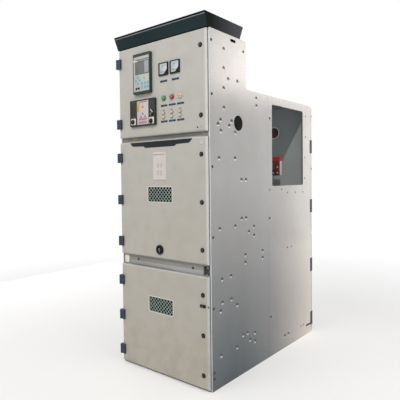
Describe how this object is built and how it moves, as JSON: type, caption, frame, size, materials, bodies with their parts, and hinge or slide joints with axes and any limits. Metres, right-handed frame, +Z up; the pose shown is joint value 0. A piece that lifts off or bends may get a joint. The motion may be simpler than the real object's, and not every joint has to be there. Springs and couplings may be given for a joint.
{
  "type": "metal-clad switchgear",
  "caption": "Metal-clad medium-voltage switchgear panel: sheet-steel cabinet with hinged front and rear doors, low-voltage control door and a busbar compartment open to both sides.",
  "frame": {"origin": "centre of the four floor bolts, on the floor", "axes": "+Z up; -Y towards the front doors; +X to the right seen from the front"},
  "size_m": [0.813, 1.469, 2.3],
  "materials": {
    "galvanised_sheet": "satin aluminium-zinc coated sheet",
    "door_paint": "light warm grey powder coat, fine texture",
    "header_paint": "near-black powder coat",
    "hinge_metal": "dark slate coated zinc casting",
    "lock_black": "black moulded head",
    "device_plastic": "dark moulded bezel with light face",
    "lamp_plastic": "coloured translucent lens",
    "link_plastic": "beige moulded plate with black knobs",
    "label_plastic": "engraved laminate",
    "band_plastic": "near-black printed plate",
    "notice_plastic": "white film",
    "mesh_steel": "grey expanded metal",
    "latch_metal": "dark coated latch",
    "red_insulation": "red moulded insulation",
    "grommet_rubber": "black rubber",
    "shaft_steel": "dark oiled steel"
  },
  "bodies": {
    "cabinet": {"base_frame": "galvanised_sheet", "floor_plate": "galvanised_sheet", "side_sheet_right_front": "galvanised_sheet", "side_sheet_right_rear": "galvanised_sheet", "side_sheet_left_front": "galvanised_sheet", "side_sheet_left_rear": "galvanised_sheet", "front_post_right": "galvanised_sheet", "front_post_left": "galvanised_sheet", "rear_post_right": "galvanised_sheet", "rear_post_left": "galvanised_sheet", "crossbeam_upper": "galvanised_sheet", "crossbeam_middle": "galvanised_sheet", "rear_crossbeam": "galvanised_sheet", "lv_roof": "galvanised_sheet", "lv_back_wall": "galvanised_sheet", "lv_floor": "galvanised_sheet", "header": "header_paint", "roof_plate": "galvanised_sheet", "relief_flaps": "galvanised_sheet", "breaker_back_wall": "galvanised_sheet", "breaker_floor": "galvanised_sheet", "truck_rails": "galvanised_sheet", "contact_boxes": "red_insulation", "branch_bars": "red_insulation", "busbar_joints": "red_insulation", "bus_back_wall": "galvanised_sheet", "bus_floor": "galvanised_sheet", "wall_grommet": "grommet_rubber", "front_hinge_leaves": "hinge_metal", "rear_hinge_leaves": "hinge_metal", "earthing_shaft": "shaft_steel"},
    "lv_door": {"lv_door_panel": "door_paint", "lv_door_hinges": "hinge_metal", "lv_door_locks": "lock_black", "protection_relay": "device_plastic", "panel_meters": "device_plastic", "pilot_lamps": "lamp_plastic", "link_plates": "link_plastic", "device_labels": "label_plastic", "status_indicator": "device_plastic", "status_knobs": "lock_black"},
    "breaker_door": {"breaker_door_panel": "door_paint", "breaker_door_hinges": "hinge_metal", "breaker_door_locks": "lock_black", "nameplate_band": "band_plastic", "notice_labels": "notice_plastic", "breaker_door_mesh": "mesh_steel", "trip_plug": "lock_black"},
    "cable_door": {"cable_door_panel": "door_paint", "cable_door_hinges": "hinge_metal", "cable_door_locks": "lock_black", "cable_door_mesh": "mesh_steel", "cable_door_latch": "latch_metal"},
    "rear_upper_door": {"rear_upper_door_panel": "galvanised_sheet", "rear_upper_door_hinges": "hinge_metal", "rear_upper_door_locks": "lock_black"},
    "rear_lower_door": {"rear_lower_door_panel": "galvanised_sheet", "rear_lower_door_hinges": "hinge_metal", "rear_lower_door_locks": "lock_black"}
  },
  "joints": [
    {"name": "lv_door_hinge", "type": "hinge", "parent": "cabinet", "child": "lv_door", "pos_m": [-0.394, -0.726, 1.9], "axis": [0, 0, -1], "range_deg": [0, 110]},
    {"name": "breaker_door_hinge", "type": "hinge", "parent": "cabinet", "child": "breaker_door", "pos_m": [-0.394, -0.726, 1.17], "axis": [0, 0, -1], "range_deg": [0, 110]},
    {"name": "cable_door_hinge", "type": "hinge", "parent": "cabinet", "child": "cable_door", "pos_m": [-0.394, -0.726, 0.36], "axis": [0, 0, -1], "range_deg": [0, 110]},
    {"name": "rear_upper_door_hinge", "type": "hinge", "parent": "cabinet", "child": "rear_upper_door", "pos_m": [0.391, 0.707, 1.3], "axis": [0, 0, -1], "range_deg": [0, 110]},
    {"name": "rear_lower_door_hinge", "type": "hinge", "parent": "cabinet", "child": "rear_lower_door", "pos_m": [0.391, 0.707, 0.35], "axis": [0, 0, -1], "range_deg": [0, 110]}
  ]
}
